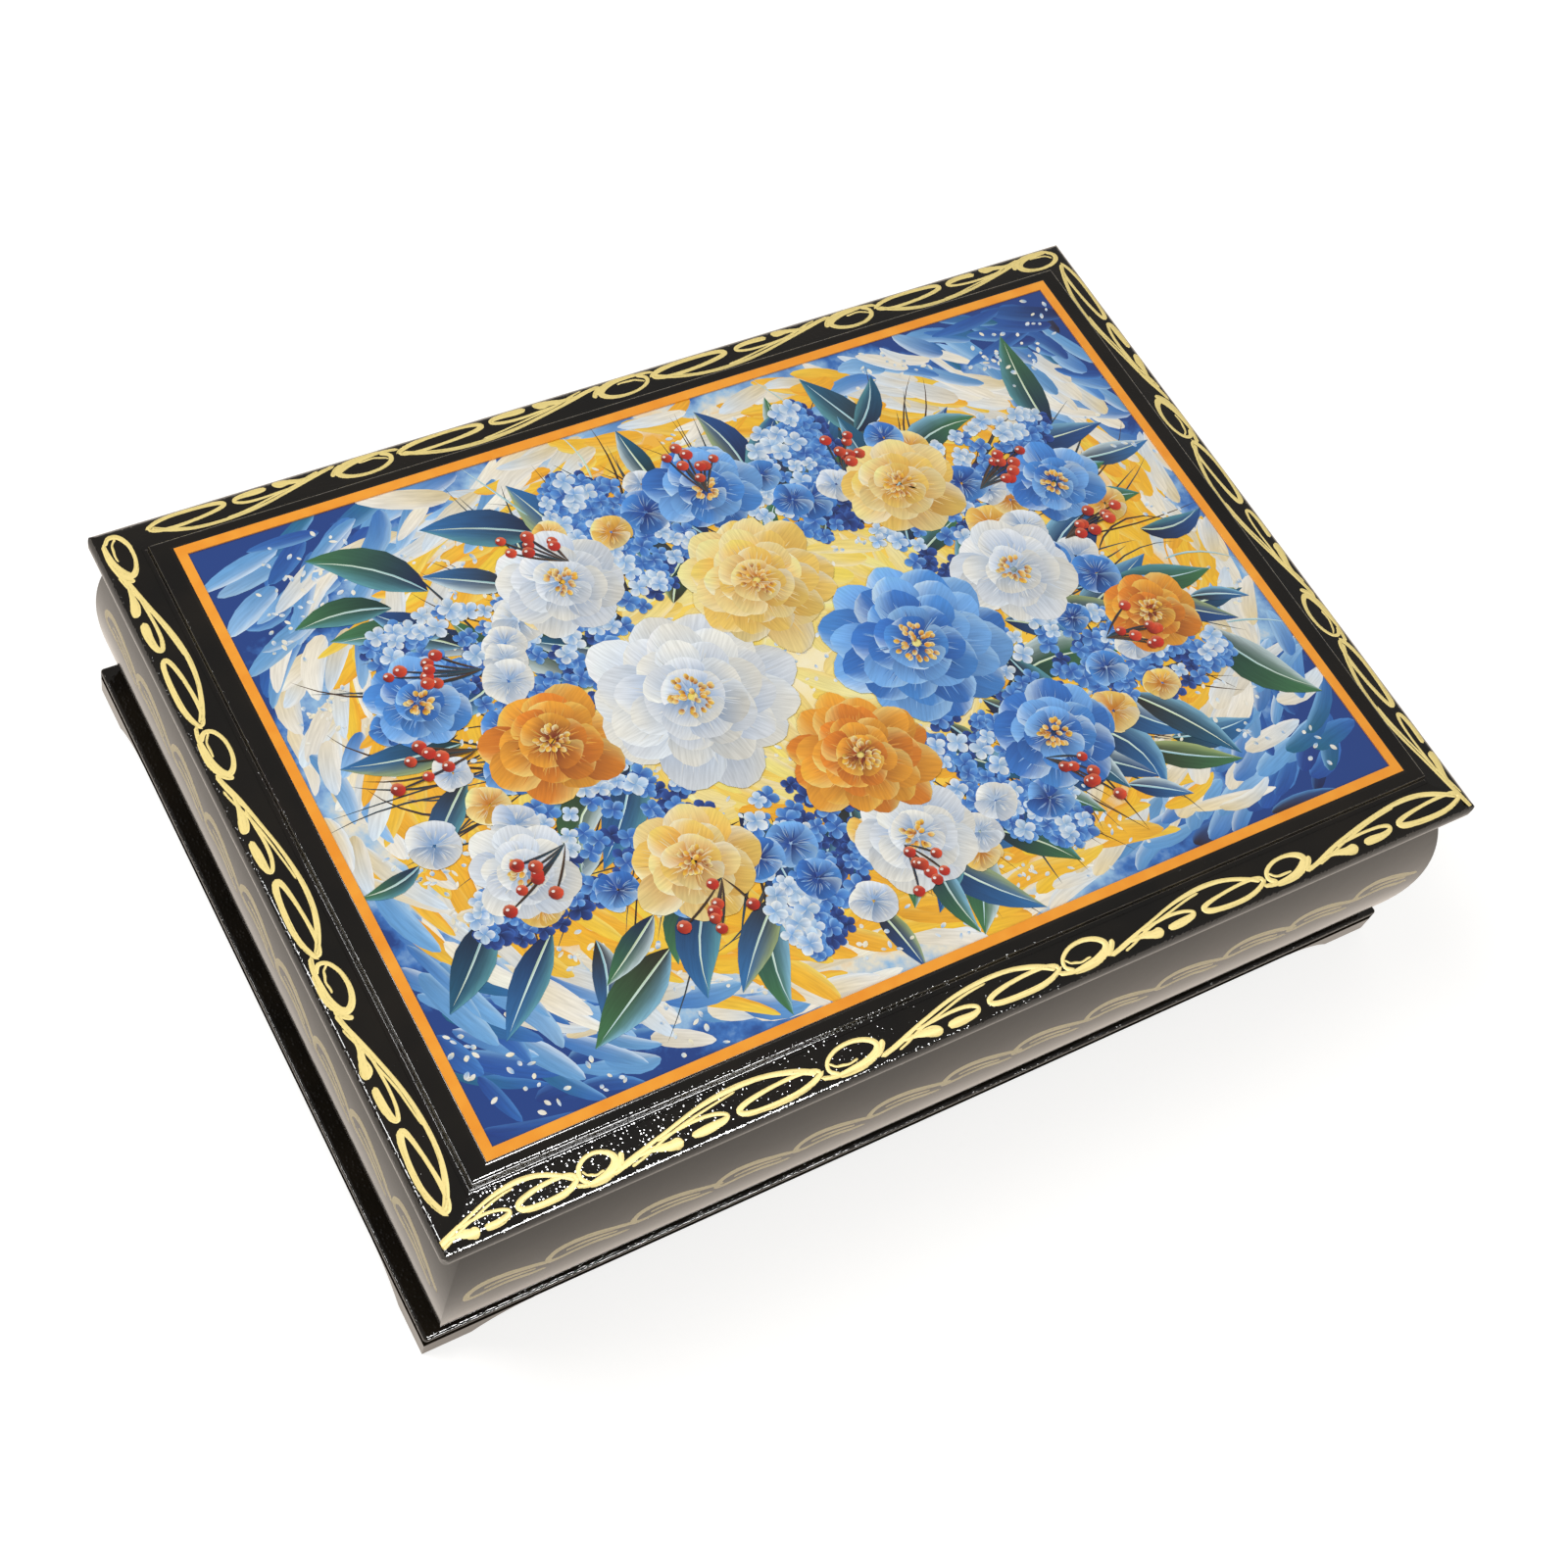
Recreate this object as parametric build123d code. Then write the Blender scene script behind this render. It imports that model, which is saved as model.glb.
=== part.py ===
from build123d import *
from math import sqrt
import os

# A flat rectangular lacquer box with a hinged lid, in millimetres.
# X runs along the long sides, the front is at -Y, the hinges are at +Y, and the feet stand on z = 0.

# Walls: bulging mouldings, mitred at the corners and measured over the widest part of the bulge
body_length = 198.4
body_width = 142.4
wall_height = 37.0
wall_top_thickness = 6.4
bulge_radius = 48.0
bulge_height = 17.0

# Base plate and bracket feet
base_thickness = 3.0
base_overhang_ends = 3.8
base_overhang_sides = 1.4
base_edge_rounding = 0.6
foot_height = 4.0
foot_leg = 20.0
foot_flat = 9.0
foot_thickness = 7.0
foot_cove = 0.9
foot_inset = 0.1

# Floor board and liner strips inside the walls
floor_thickness = 2.0
floor_clearance = 0.1
liner_thickness = 2.0
lip_height = 2.0
lip_clearance = 0.4

# Lid board, with a rounded edge and a border that slopes up to the raised panel
lid_gap = 0.2
lid_overhang_ends = 5.7
lid_overhang_sides = 3.2
lid_edge_height = 3.0
lid_corner_radius = 1.2
lid_top_rounding = 2.4
lid_low_rounding = 0.4
border_width = 7.1
border_rise = 1.0

# Raised panel, with a coved step round it, and the picture sheet let into it
step_height = 2.0
step_lip = 0.2
step_flat = 0.1
step_cove = 0.7
step_rounding = 0.7
picture_margin_ends = 4.4
picture_margin_sides = 3.15
picture_thickness = 0.8
picture_proud = 0.3
picture_clearance = 0.05

# Lining panel inside the lid
lining_thickness = 1.2
lining_clearance = 0.6

# Butt hinges
hinge_from_end = 41.0
hinge_length = 28.0
hinge_setback = 1.6
hinge_clearance = 0.4
leaf_width = 6.8
leaf_thickness = 1.0
leaf_clearance = 0.05
knuckle_radius = 1.8
middle_knuckle = 10.0
knuckle_gap = 0.2
pin_radius = 0.8
pin_clearance = 0.05
pin_head_radius = 1.3
pin_head_thickness = 0.5

# Countersunk screws of the hinge leaves
screw_count = 3
screw_pitch = 9.0
screw_head_radius = 1.4
screw_head_depth = 0.7
screw_shank_radius = 0.7
screw_slot_width = 0.35
screw_slot_depth = 0.3
screw_clearance = 0.05
body_screw_length = 7.0
lid_screw_length = 3.2


def sagitta(height):
    """How far the bulging face has drawn in at a height above or below its widest line."""
    return bulge_radius - sqrt(bulge_radius**2 - height**2)


# Levels and plan sizes that follow from the sizes above
base_bottom = foot_height
wall_bottom = base_bottom + base_thickness
wall_top = wall_bottom + wall_height
top_draw = sagitta(wall_height - bulge_height)
foot_draw = sagitta(bulge_height)
wall_thickness = top_draw + wall_top_thickness
inside_length = body_length - 2 * wall_thickness
inside_width = body_width - 2 * wall_thickness
base_length = body_length - 2 * foot_draw + 2 * base_overhang_ends
base_width = body_width - 2 * foot_draw + 2 * base_overhang_sides
floor_top = wall_bottom + floor_thickness
lip_top = wall_top + lip_height

lid_length = body_length - 2 * top_draw + 2 * lid_overhang_ends
lid_width = body_width - 2 * top_draw + 2 * lid_overhang_sides
lid_bottom = wall_top + lid_gap
border_low = lid_bottom + lid_edge_height
border_high = border_low + border_rise
panel_length = lid_length - 2 * border_width
panel_width = lid_width - 2 * border_width
panel_top = border_high + step_height
picture_length = panel_length - 2 * picture_margin_ends
picture_width = panel_width - 2 * picture_margin_sides
pocket_top = lip_top + lip_clearance

axis_y = body_width / 2 - top_draw + hinge_setback
axis_z = wall_top - leaf_thickness / 2
plate_back = axis_y - knuckle_radius - hinge_clearance
plate_front = axis_y - leaf_width
screw_y = (plate_front + plate_back) / 2
hinge_reach = hinge_length / 2 + pin_head_thickness + hinge_clearance
hinge_places = {"left": hinge_from_end - body_length / 2, "right": body_length / 2 - hinge_from_end}


def block(x_low, x_high, y_low, y_high, z_low, z_high):
    """A rectangular block between two opposite corners."""
    size = Box(x_high - x_low, y_high - y_low, z_high - z_low)
    return Pos((x_low + x_high) / 2, (y_low + y_high) / 2, (z_low + z_high) / 2) * size


def slab(length, width, z_low, z_high):
    """A board centred on the box, between two levels."""
    return block(-length / 2, length / 2, -width / 2, width / 2, z_low, z_high)


def rod(radius, x_low, x_high):
    """A round bar on the hinge axis, between two places along X."""
    return Pos((x_low + x_high) / 2, axis_y, axis_z) * Rot(0, 90, 0) * Cylinder(radius, x_high - x_low)


def mitred(bar, run, reach, depth, height):
    """A bar on the -Y side with both ends cut at 45 degrees, so that four of them close at the corners."""
    outline = Polyline(
        (-run / 2, -reach),
        (run / 2, -reach),
        (run / 2 - depth, depth - reach),
        (depth - run / 2, depth - reach),
        close=True,
    )
    return bar & extrude(make_face(outline), height)


def wall(run, reach):
    """One bulging wall on the -Y side, standing on z = 0: a flat inner face and one arc outside."""
    foot = (foot_draw - reach, 0)
    widest = (-reach, bulge_height)
    top = (top_draw - reach, wall_height)
    inner = wall_thickness - reach
    section = Polyline(top, (inner, wall_height), (inner, 0), foot) + ThreePointArc(foot, widest, top)
    bar = extrude(Plane.YZ * make_face(section), run / 2, both=True)
    return mitred(bar, run, reach, wall_thickness, wall_height)


def liner(run, reach, height):
    """One liner strip on the -Y side, standing on z = 0."""
    bar = block(-run / 2, run / 2, -reach, liner_thickness - reach, 0, height)
    return mitred(bar, run, reach, liner_thickness, height)


def foot():
    """A bracket foot with its corner at the origin: two legs along +X and +Y, coved up at their ends."""
    outline = Polyline((foot_flat, 0), (0, 0), (0, foot_height), (foot_leg, foot_height))
    cove = SagittaArc((foot_leg, foot_height), (foot_flat, 0), -foot_cove)
    leg = extrude(Plane.XZ * make_face(outline + cove), foot_thickness, dir=(0, 1, 0))
    return leg + mirror(leg, about=Plane(origin=(0, 0, 0), z_dir=(1, -1, 0)))


def lid_edge(run, reach):
    """One side of the lid's border on the -Y side, standing on z = 0: rounded outside, sloping up inwards."""
    inner = border_width - reach
    low, high = (-reach, 0), (-reach, lid_edge_height)
    section = make_face(Polyline((inner, 0), low, high, (inner, lid_edge_height + border_rise), close=True))
    section = fillet(section.vertices().group_by(Axis.X)[0].sort_by(Axis.Y)[1], lid_top_rounding)
    section = fillet(section.vertices().group_by(Axis.X)[0].sort_by(Axis.Y)[0], lid_low_rounding)
    bar = extrude(Plane.YZ * section, run / 2, both=True)
    return mitred(bar, run, reach, border_width, lid_edge_height + border_rise)


def screw_body(length, spare):
    """A countersunk screw pointing down, with the flat of its head at z = 0, grown by a spare width."""
    top = (Align.CENTER, Align.CENTER, Align.MAX)
    head = Cone(screw_shank_radius + spare, screw_head_radius + spare, screw_head_depth, align=top)
    return head + Cylinder(screw_shank_radius + spare, length + spare, align=top)


def screw(length):
    """A countersunk screw with a straight slot across its head."""
    slot = Box(2 * screw_head_radius, screw_slot_width, 2 * screw_slot_depth)
    return screw_body(length, 0) - slot


def screw_places(hinge_x, level, turn):
    """Where one leaf's screws go, in a row along X at a level, turned about X."""
    first_x = hinge_x - (screw_count - 1) / 2 * screw_pitch
    return [Pos(first_x + i * screw_pitch, screw_y, level) * Rot(turn, 0, 0) for i in range(screw_count)]


def hinge_leaf(hinge_x, plate_bottom, knuckles):
    """A flat leaf whose tongues curl into knuckles round the pin, over spans along X."""
    ends = (hinge_x - hinge_length / 2, hinge_x + hinge_length / 2)
    plate_top = plate_bottom + leaf_thickness
    leaf = block(*ends, plate_front, plate_back, plate_bottom, plate_top)
    for start, end in knuckles:
        leaf += block(hinge_x + start, hinge_x + end, plate_back, axis_y, plate_bottom, plate_top)
        leaf += rod(knuckle_radius, hinge_x + start, hinge_x + end)
    return leaf - rod(pin_radius + pin_clearance, *ends)


def leaf_seat(hinge_x, z_low, z_high):
    """The room cut for a leaf's plate, and round the knuckles and the pin's heads."""
    half = hinge_length / 2 + leaf_clearance
    seat = block(hinge_x - half, hinge_x + half, plate_front - leaf_clearance, axis_y, z_low, z_high)
    return seat + rod(knuckle_radius + hinge_clearance, hinge_x - hinge_reach, hinge_x + hinge_reach)


def hinge_pin(hinge_x):
    """A pin through all the knuckles, with a flat head at each end."""
    half = hinge_length / 2
    pin = rod(pin_radius, hinge_x - half, hinge_x + half)
    pin += rod(pin_head_radius, hinge_x - half - pin_head_thickness, hinge_x - half)
    return pin + rod(pin_head_radius, hinge_x + half, hinge_x + half + pin_head_thickness)


nodes = {}

# Base plate, feet and floor
base = slab(base_length, base_width, base_bottom, wall_bottom)
nodes["base_plate"] = fillet(base.edges(), base_edge_rounding)

foot_corner_x = base_length / 2 - foot_inset
foot_corner_y = base_width / 2 - foot_inset
nodes["foot_front_left"] = Pos(-foot_corner_x, -foot_corner_y) * foot()
nodes["foot_front_right"] = Pos(foot_corner_x, -foot_corner_y) * Rot(0, 0, 90) * foot()
nodes["foot_back_right"] = Pos(foot_corner_x, foot_corner_y) * Rot(0, 0, 180) * foot()
nodes["foot_back_left"] = Pos(-foot_corner_x, foot_corner_y) * Rot(0, 0, 270) * foot()

floor_length = inside_length - 2 * floor_clearance
floor_width = inside_width - 2 * floor_clearance
nodes["floor_board"] = slab(floor_length, floor_width, wall_bottom, floor_top)

# Walls and liners: each is made on the -Y side and turned by quarters to its own side
sides = {
    "front": (body_length, body_width, lip_top),
    "right": (body_width, body_length, lip_top),
    "back": (body_length, body_width, wall_top),
    "left": (body_width, body_length, lip_top),
}
for quarter, (side, (run, across, liner_top)) in enumerate(sides.items()):
    turn = Rot(0, 0, 90 * quarter)
    inner_run = run - 2 * wall_thickness
    inner_reach = across / 2 - wall_thickness
    nodes[side + "_wall"] = Pos(0, 0, wall_bottom) * turn * wall(run, across / 2)
    strip = liner(inner_run, inner_reach, liner_top - floor_top)
    nodes[side + "_liner"] = Pos(0, 0, floor_top) * turn * strip

# Lid board: a middle board with four mitred edges round it, and a pocket underneath for the liners
lid = slab(panel_length, panel_width, lid_bottom, border_high)
for quarter in range(4):
    run, across = (lid_length, lid_width) if quarter % 2 == 0 else (lid_width, lid_length)
    lid += Pos(0, 0, lid_bottom) * Rot(0, 0, 90 * quarter) * lid_edge(run, across / 2)
corners = extrude(RectangleRounded(lid_length, lid_width, lid_corner_radius), lid_bottom + border_high)
lid &= corners
pocket_length = inside_length + 2 * lip_clearance
pocket_width = inside_width + 2 * lip_clearance
lid -= slab(pocket_length, pocket_width, lid_bottom, pocket_top)

# Raised panel: a low lip on the border, and a plateau that a cove joins to the lip
lip_level = border_high + step_lip
plateau_inset = step_flat + step_cove
lip = slab(panel_length, panel_width, border_high, lip_level)
plateau_length = panel_length - 2 * plateau_inset
plateau_width = panel_width - 2 * plateau_inset
plateau = slab(plateau_length, plateau_width, lip_level, panel_top)
panel = lip + plateau
within_x = panel_length / 2 - plateau_inset / 2
within_y = panel_width / 2 - plateau_inset / 2
foot_edges = panel.edges().group_by(Axis.Z)[2].filter_by_position(Axis.X, -within_x, within_x)
panel = fillet(foot_edges.filter_by_position(Axis.Y, -within_y, within_y), step_cove)
panel = fillet(panel.edges().group_by(Axis.Z)[-1], step_rounding)
picture_bottom = panel_top + picture_proud - picture_thickness
seat_length = picture_length + 2 * picture_clearance
seat_width = picture_width + 2 * picture_clearance
panel -= slab(seat_length, seat_width, picture_bottom, panel_top)
nodes["lid_raised_panel"] = panel
nodes["picture_sheet"] = slab(picture_length, picture_width, picture_bottom, panel_top + picture_proud)

lining_length = inside_length - 2 * liner_thickness - 2 * lining_clearance
lining_width = inside_width - 2 * liner_thickness - 2 * lining_clearance
nodes["lid_lining"] = slab(lining_length, lining_width, pocket_top - lining_thickness, pocket_top)

# Hinges: the body leaf has the two end knuckles, the lid leaf the middle one
middle = middle_knuckle / 2
body_knuckles = [(-hinge_length / 2, -middle - knuckle_gap), (middle + knuckle_gap, hinge_length / 2)]
lid_knuckles = [(-middle, middle)]
body_screws = []
lid_screws = []
for side, hinge_x in hinge_places.items():
    body_leaf = hinge_leaf(hinge_x, wall_top - leaf_thickness, body_knuckles)
    lid_leaf = hinge_leaf(hinge_x, lid_bottom, lid_knuckles)
    nodes["back_wall"] -= leaf_seat(hinge_x, wall_top - leaf_thickness, wall_top)
    lid -= leaf_seat(hinge_x, lid_bottom, lid_bottom + leaf_thickness)
    notch_top = axis_z + knuckle_radius + hinge_clearance
    lid -= block(hinge_x - hinge_reach, hinge_x + hinge_reach, axis_y, lid_width / 2, lid_bottom, notch_top)
    for place in screw_places(hinge_x, wall_top, 0):
        body_leaf -= place * screw_body(body_screw_length, screw_clearance)
        nodes["back_wall"] -= place * screw_body(body_screw_length, screw_clearance)
        body_screws.append(place * screw(body_screw_length))
    for place in screw_places(hinge_x, lid_bottom, 180):
        lid_leaf -= place * screw_body(lid_screw_length, screw_clearance)
        lid -= place * screw_body(lid_screw_length, screw_clearance)
        lid_screws.append(place * screw(lid_screw_length))
    nodes["hinge_" + side + "_body_leaf"] = body_leaf
    nodes["hinge_" + side + "_lid_leaf"] = lid_leaf
    nodes["hinge_" + side + "_pin"] = hinge_pin(hinge_x)

nodes["lid_board"] = lid
nodes["body_leaf_screws"] = Compound(children=body_screws)
nodes["lid_leaf_screws"] = Compound(children=lid_screws)

os.makedirs("parts", exist_ok=True)
for name, shape in nodes.items():
    export_step(shape, "parts/" + name + ".step")
print(len(nodes), "nodes, lid", round(lid_length, 2), "x", round(lid_width, 2))
print("hinge axis at y", round(axis_y, 3), "z", round(axis_z, 3), "top of picture", panel_top + picture_proud)
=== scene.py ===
# %% [markdown]
# # A flat black lacquer box with gold scrolls and a painted lid
# The box is a CAD assembly: walls, liners, base plate, feet, lid, hinges and screws, already in
# their places. This lesson dresses it. It gives the lacquer, brass and paint their finish, and adds
# what a brush adds on the real box: the gold scrolls, the orange line and the painted panel.
# Everything is in metres, in the frame of the CAD model, so nothing has to be moved afterwards.

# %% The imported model
import bpy
import numpy as np
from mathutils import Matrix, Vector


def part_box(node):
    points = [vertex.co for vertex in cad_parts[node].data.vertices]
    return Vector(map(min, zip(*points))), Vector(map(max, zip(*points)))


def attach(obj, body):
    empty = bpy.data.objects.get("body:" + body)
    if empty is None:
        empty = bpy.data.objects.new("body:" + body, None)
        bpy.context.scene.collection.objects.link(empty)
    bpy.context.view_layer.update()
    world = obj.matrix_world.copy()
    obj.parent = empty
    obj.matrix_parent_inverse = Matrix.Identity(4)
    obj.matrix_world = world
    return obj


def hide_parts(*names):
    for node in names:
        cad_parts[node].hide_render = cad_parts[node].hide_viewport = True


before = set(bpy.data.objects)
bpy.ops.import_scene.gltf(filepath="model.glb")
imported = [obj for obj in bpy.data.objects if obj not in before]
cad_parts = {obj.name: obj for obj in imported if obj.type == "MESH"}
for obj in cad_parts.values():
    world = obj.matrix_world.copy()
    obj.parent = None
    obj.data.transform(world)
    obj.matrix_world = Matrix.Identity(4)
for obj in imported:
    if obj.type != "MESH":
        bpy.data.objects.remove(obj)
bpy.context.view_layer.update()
mm = 0.001
chance = np.random.default_rng(7)

# %% [markdown]
# ## Colours and nodes
# Paint colours are easiest to name as the hex values that a screen shows. Shaders count in linear
# light, so one function turns hex into linear numbers. A second small function adds any shader
# node with its settings and its links, which keeps each material short enough to read as a recipe.


# %% Helpers for materials
def linear(hex_colour):
    """A hex colour as linear red, green, blue and 1: the sRGB curve undone channel by channel."""
    shown = np.array([int(hex_colour[i : i + 2], 16) for i in (1, 3, 5)]) / 255
    light = np.where(shown <= 0.04045, shown / 12.92, ((shown + 0.055) / 1.055) ** 2.4)
    return (*light.tolist(), 1.0)


def node(tree, kind, settings=None, stops=(), **inputs):
    """Adds a shader node by its kind. Settings are its own properties, stops are a colour ramp's
    (position, colour) pairs, and inputs are sockets by name, or by number as _0."""
    made = tree.nodes.new("ShaderNode" + kind)
    for name, value in (settings or {}).items():
        setattr(made, name, value)
    for k, (position, colour) in enumerate(stops):
        element = made.color_ramp.elements[k] if k < 2 else made.color_ramp.elements.new(position)
        element.position, element.color = position, linear(colour)
    for name, value in inputs.items():
        socket = made.inputs[int(name[1:]) if name[1:].isdigit() else name.replace("_", " ")]
        if isinstance(value, bpy.types.NodeSocket):
            tree.links.new(value, socket)
        else:
            socket.default_value = value
    return made.outputs


def new_material(name):
    """An empty node material with its output node, ready for a recipe."""
    material = bpy.data.materials.new(name)
    material.use_nodes = True
    tree = material.node_tree
    tree.nodes.clear()
    return material, tree, tree.nodes.new("ShaderNodeOutputMaterial").inputs["Surface"]


print("chocolate black in linear light:", [round(c, 4) for c in linear("#1A150E")])

# %% [markdown]
# ## Camera
# The box is seen from the front left and from high up, a little turned in the frame. The place,
# direction and lens below come from fitting the corners of lid, panel and base plate to the frame.
# A matrix holds a pose: its columns are the object's own three axes and its place.


# %% Camera
def set_pose(thing, across, up, back, place):
    """Turns and moves an object: its X, Y and Z axes and its place become the columns of its matrix."""
    pose = np.eye(4)
    pose[:3] = np.stack([across, up, back, place], axis=1)
    thing.matrix_world = pose.T.tolist()


camera = bpy.data.objects.new("Camera", bpy.data.cameras.new("Camera"))
bpy.context.scene.collection.objects.link(camera)
camera.data.sensor_width = 36
camera.data.lens = 53.84
camera.data.shift_x, camera.data.shift_y = 0.09375, 0.04375
camera.data.clip_start, camera.data.clip_end = 0.01, 50
camera_place = np.array([-175.74, -162.85, 372.75]) * mm
ahead = np.array([0.35121, 0.37485, -0.85799])
ahead /= np.linalg.norm(ahead)
right = np.array([0.87380, -0.46040, 0.15654])
right -= ahead * (right @ ahead)
right /= np.linalg.norm(right)
set_pose(camera, right, np.cross(right, ahead), -ahead, camera_place)
bpy.context.scene.camera = camera
bpy.context.scene.view_settings.view_transform = "Standard"
print("camera at", camera_place, "looking along", ahead.round(3))

# %% [markdown]
# ## Floor and light
# A product table is a white sheet under large soft lamps. The sheet shows up twice: as background,
# and mirrored in the glossy walls, which is why black walls look grey towards their foot. Under the
# light alone it would look grey, so it glows a little for the camera and for reflections. The sky
# above is kept dim so that the lid stays black.

# %% White sheet
floor_reach, floor_level = 3.0, -0.0002
seen_glow, mirrored_glow = 0.66, 0.75
ends = (-floor_reach, floor_reach)
floor_mesh = bpy.data.meshes.new("Floor")
floor_mesh.from_pydata([(x, y, floor_level) for y in ends for x in ends], [], [(0, 1, 3, 2)])
floor = bpy.data.objects.new("Floor", floor_mesh)
bpy.context.scene.collection.objects.link(floor)

white_sheet, tree, surface = new_material("white_table_sheet")
path = node(tree, "LightPath")
seen = node(tree, "Math", {"operation": "MULTIPLY"}, _0=path["Is Camera Ray"], _1=seen_glow)
rays = {"_0": path["Is Glossy Ray"], "_1": path["Is Transmission Ray"]}
mirrored = node(tree, "Math", {"operation": "MAXIMUM"}, **rays)
warm = node(tree, "Math", {"operation": "MULTIPLY"}, _0=mirrored[0], _1=mirrored_glow)
paper = node(tree, "BsdfDiffuse", Color=linear("#C8C6C2"))
white_glow = node(tree, "Emission", Color=linear("#FFFFFF"), Strength=seen[0])
warm_glow = node(tree, "Emission", Color=linear("#FFEEDD"), Strength=warm[0])
glow = node(tree, "AddShader", _0=white_glow[0], _1=warm_glow[0])
sheet = node(tree, "AddShader", _0=paper[0], _1=glow[0])
tree.links.new(sheet[0], surface)
floor_mesh.materials.append(white_sheet)
print("white sheet:", 2 * floor_reach, "m wide")

# %% Sky
sky_glow, more_for_camera = 0.3, 0.53
world = bpy.data.worlds.new("Studio")
bpy.context.scene.world = world
world.use_nodes = True
tree = world.node_tree
path = node(tree, "LightPath")
strength = {"_0": path["Is Camera Ray"], "_1": more_for_camera, "_2": sky_glow}
open_sky = node(tree, "Math", {"operation": "MULTIPLY_ADD"}, **strength)
background = tree.nodes["Background"].inputs
background["Color"].default_value = linear("#FFFFFF")
tree.links.new(open_sky[0], background["Strength"])
print("sky strength:", sky_glow, "and for the camera", sky_glow + more_for_camera)

# %% [markdown]
# ### Lamps
# Two large lamps light the paint, and only the brass mirrors them. Three more show only as
# reflections: a small one near the place that the front left corner mirrors, which breaks up into
# sparkles on the grains of the lacquer, and two low strips that draw thin light lines along the
# rounded edges. A photographer would keep those three off the varnished picture with a black flag.
# Here they are told which objects they reach: the black lid, the base plate, and the gold.


# %% Lamps that light the paint
def soft_lamp(name, place, target, size, watts, mirrored):
    """An area lamp at a place (metres), facing a target, of a size across and up. It either lights
    the paint or is mirrored in the gloss."""
    lamp = bpy.data.lights.new(name, "AREA")
    lamp.shape, lamp.energy = "RECTANGLE", watts
    lamp.size, lamp.size_y = size
    holder = bpy.data.objects.new(name, lamp)
    bpy.context.scene.collection.objects.link(holder)
    back = np.array(place) - np.array(target)
    back /= np.linalg.norm(back)
    across = np.cross([0.0, 0.0, 1.0], back)
    across /= np.linalg.norm(across)
    set_pose(holder, across, np.cross(back, across), back, place)
    holder.visible_diffuse, holder.visible_glossy = not mirrored, mirrored
    return holder


middle = (0.0, 0.0, 0.03)
wide_lamp = (0.8, 0.8)
brass_parts = bpy.data.collections.new("brass_parts")
for name, place, watts in (("lamp_left", (-0.6, 0.5, 0.9), 8.8), ("lamp_front", (0.1, -1.0, 0.9), 6.8)):
    soft_lamp(name, place, middle, wide_lamp, watts, mirrored=False)
    holder = soft_lamp(name + "_on_brass", place, middle, wide_lamp, watts, mirrored=True)
    holder.light_linking.receiver_collection = brass_parts

# %% Lamps that show only as reflections
lamp_distance = 0.9
front_left_corner = np.array([-0.1, -0.07, 0.047])
left_edge = np.array([-0.1, -0.035, 0.047])
mirrored_lamps = {
    "lamp_sparkle": (front_left_corner, (0.22, -0.17, 0.96), (0.16, 0.16), 10.5),
    "lamp_front_edge": (front_left_corner, (0.32, -0.92, 0.2), (0.26, 0.08), 6.5),
    "lamp_left_edge": (left_edge, (-0.88, 0.35, 0.32), (0.22, 0.06), 1.5),
}
black_and_gold = bpy.data.collections.new("black_and_gold")
for name, (target, way, size, watts) in mirrored_lamps.items():
    holder = soft_lamp(name, target + lamp_distance * np.array(way), target, size, watts, mirrored=True)
    holder.light_linking.receiver_collection = black_and_gold
print("mirrored lamps:", list(mirrored_lamps))

# %% [markdown]
# ## Lacquer
# The box is wood under several coats of lacquer, brushed on and not polished flat. That gives a warm
# black, a hard gloss, soft ripples from the brush, and dust grains that dry in as small domes. Each dome
# mirrors a lamp from one spot of its own, so a grainy coat sparkles where a smooth one would shine.
# The grains are drawn over half a millimetre wide, coarser than real dust, so that they show.

# %% Lacquer
cloud_mm, ripple_mm, grain_mm = 14, 3.0, 0.6


def lacquer(name, thin, thick, gloss, ripple_height, grain_height):
    """Brushed gloss lacquer: two close colours in soft clouds, with ripples and domed grains as bump.
    A dome falls from the middle of its Voronoi cell, and the cell's own colour sets how high it is."""
    material, tree, surface = new_material(name)
    place = node(tree, "TexCoord")["Object"]
    clouds = node(tree, "TexNoise", Vector=place, Scale=1 / (cloud_mm * mm), Detail=4.0)
    tone = node(tree, "ValToRGB", stops=[(0.35, thin), (0.65, thick)], Fac=clouds["Fac"])
    rough = node(tree, "MapRange", Value=clouds["Fac"], To_Min=gloss * 0.8, To_Max=gloss * 1.3)
    ripples = node(tree, "TexNoise", Vector=place, Scale=1 / (ripple_mm * mm), Detail=2.0)
    wavy = node(tree, "Bump", Height=ripples["Fac"], Strength=1.0, Distance=ripple_height)
    cells = node(tree, "TexVoronoi", Vector=place, Scale=1 / (grain_mm * mm))
    smooth = {"interpolation_type": "SMOOTHSTEP"}
    fall = {"From_Max": 0.55, "To_Min": 1.0, "To_Max": 0.0}
    dome = node(tree, "MapRange", smooth, Value=cells["Distance"], **fall)
    grain = node(tree, "Math", {"operation": "MULTIPLY"}, _0=dome[0], _1=cells["Color"])
    grainy = node(tree, "Bump", Height=grain[0], Normal=wavy[0], Strength=1.0, Distance=grain_height)
    coat = node(tree, "BsdfPrincipled", Base_Color=tone[0], Roughness=rough[0], IOR=1.5, Normal=grainy[0])
    tree.links.new(coat[0], surface)
    return material


warm_black = ("#1A150E", "#0F0C08")
grainy_black = lacquer("black_lacquer_grainy", *warm_black, 0.06, 0.02 * mm, 0.042 * mm)
smooth_black = lacquer("black_lacquer_smooth", "#211B14", "#15110C", 0.13, 0.02 * mm, 0.004 * mm)
red_lacquer = lacquer("red_lacquer_smooth", "#90170F", "#80120C", 0.22, 0.03 * mm, 0.008 * mm)
print("lacquers:", grainy_black.name, smooth_black.name, red_lacquer.name)


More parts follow.
